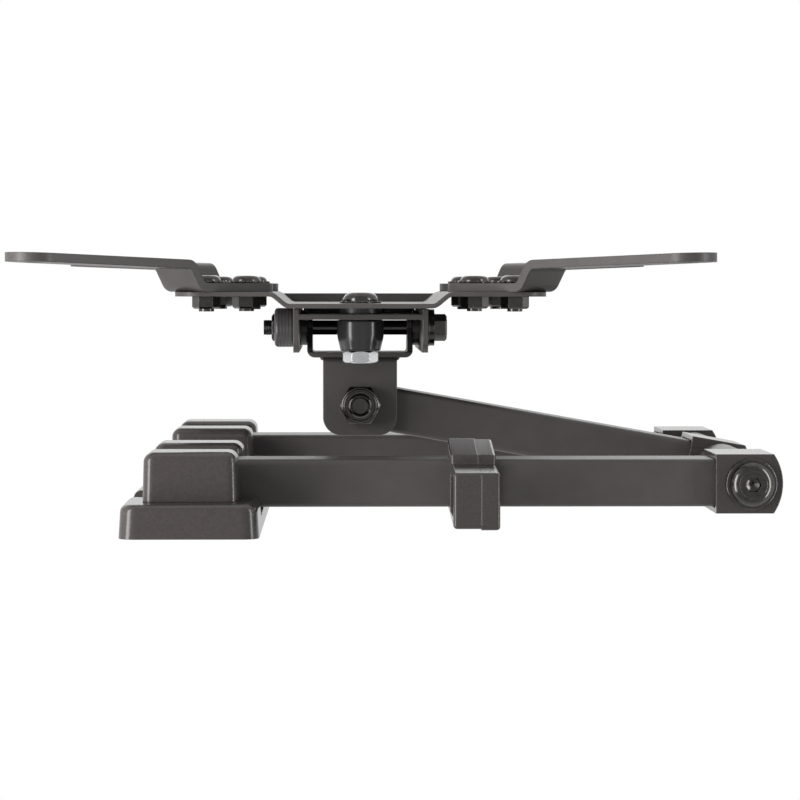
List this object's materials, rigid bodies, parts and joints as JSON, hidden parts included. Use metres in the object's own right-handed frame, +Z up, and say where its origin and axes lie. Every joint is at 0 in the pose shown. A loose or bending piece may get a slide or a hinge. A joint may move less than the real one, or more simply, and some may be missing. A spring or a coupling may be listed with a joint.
{
  "type": "swivel screen wall mount",
  "caption": "Folding wall mount for a flat screen: a wall plate under a moulded cover, parallel swinging arms, a forearm, a tilting head, a screen plate and splayed straps.",
  "frame": {"origin": "middle of the wall plate's back face, on the wall", "axes": "+Y into the wall, +Z up the wall, +X to the right for a person facing the wall"},
  "size_m": [0.2409, 0.0865, 0.232],
  "materials": {
    "black_steel": "satin powder coat",
    "textured_moulding": "fine moulded texture",
    "black_fastener": "black oxide",
    "black_nylon": "satin",
    "knob_plastic": "satin",
    "knob_gloss": "gloss",
    "zinc_plate": "bright zinc"
  },
  "bodies": {
    "wall_bracket": {"wall_plate": "black_steel", "wall_cover": "textured_moulding", "cover_towers": "textured_moulding", "wall_pivot_bolts": "black_fastener", "wall_pivot_nuts": "black_fastener"},
    "arm_pair": {"lower_arm_tube": "black_steel", "upper_arm_tube": "black_steel", "arm_tube_plugs": "black_nylon", "wall_end_bushes": "black_nylon", "lower_elbow_cap": "textured_moulding", "upper_elbow_cap": "textured_moulding", "elbow_pin": "black_fastener", "elbow_spacers": "black_steel", "elbow_shims": "black_nylon", "elbow_washers": "black_fastener", "elbow_screws": "black_fastener"},
    "forearm": {"forearm_tube": "black_steel", "forearm_plug": "black_nylon", "forearm_elbow_cap": "textured_moulding", "forearm_elbow_bushes": "black_nylon", "forearm_head_bushes": "black_nylon"},
    "swivel_head": {"pivot_clevis": "black_steel", "tilt_yoke": "black_steel", "pivot_bolt": "black_fastener", "pivot_lock_nut": "black_fastener"},
    "tilt_frame": {"tilt_bracket": "black_steel", "tilt_bolt": "black_fastener", "tilt_spacer": "black_fastener", "friction_washers": "black_nylon"},
    "tilt_turn_knob": {"tilt_knob": "knob_plastic", "tilt_nut": "black_fastener"},
    "screen_head": {"screen_plate": "black_steel", "strap_lower_left": "black_steel", "strap_lower_right": "black_steel", "strap_upper_left": "black_steel", "strap_upper_right": "black_steel", "plate_screws": "black_fastener", "plate_nuts": "black_fastener", "level_pad": "black_nylon", "clamp_washer": "black_nylon", "level_rivet": "black_fastener", "clamp_bolt": "black_fastener"},
    "clamp_turn_knob": {"clamp_knob": "knob_gloss", "clamp_nut": "zinc_plate"},
    "clip": {"cable_clip": "textured_moulding", "cable_clip_keeper": "textured_moulding"}
  },
  "joints": [
    {"name": "wall_swivel", "type": "hinge", "parent": "wall_bracket", "child": "arm_pair", "pos_m": [0, -0.0143, 0], "axis": [0, 0, -1], "range_deg": [0, 180]},
    {"name": "elbow", "type": "hinge", "parent": "arm_pair", "child": "forearm", "pos_m": [0.1745, -0.0143, 0], "axis": [0, 0, -1], "range_deg": [-169.5, 0]},
    {"name": "head_swivel", "type": "hinge", "parent": "forearm", "child": "swivel_head", "pos_m": [0.05242, -0.03605, 0], "axis": [0, 0, -1], "range_deg": [-22, 22]},
    {"name": "tilt", "type": "hinge", "parent": "swivel_head", "child": "tilt_frame", "pos_m": [0.05242, -0.062, 0], "axis": [1, 0, 0], "range_deg": [-5, 12]},
    {"name": "level", "type": "hinge", "parent": "tilt_frame", "child": "screen_head", "pos_m": [0.05242, -0.0675, 0.036], "axis": [0, -1, 0], "range_deg": [-3, 3]},
    {"name": "tilt_knob_turn", "type": "hinge", "parent": "tilt_frame", "child": "tilt_turn_knob", "pos_m": [0.02742, -0.062, 0], "axis": [1, 0, 0], "continuous": true},
    {"name": "clamp_knob_turn", "type": "hinge", "parent": "screen_head", "child": "clamp_turn_knob", "pos_m": [0.05242, -0.06, -0.036], "axis": [0, -1, 0], "continuous": true},
    {"name": "clip_slide", "type": "slide", "parent": "arm_pair", "child": "clip", "axis": [1, 0, 0], "range_m": [-0.042, 0.038]}
  ]
}
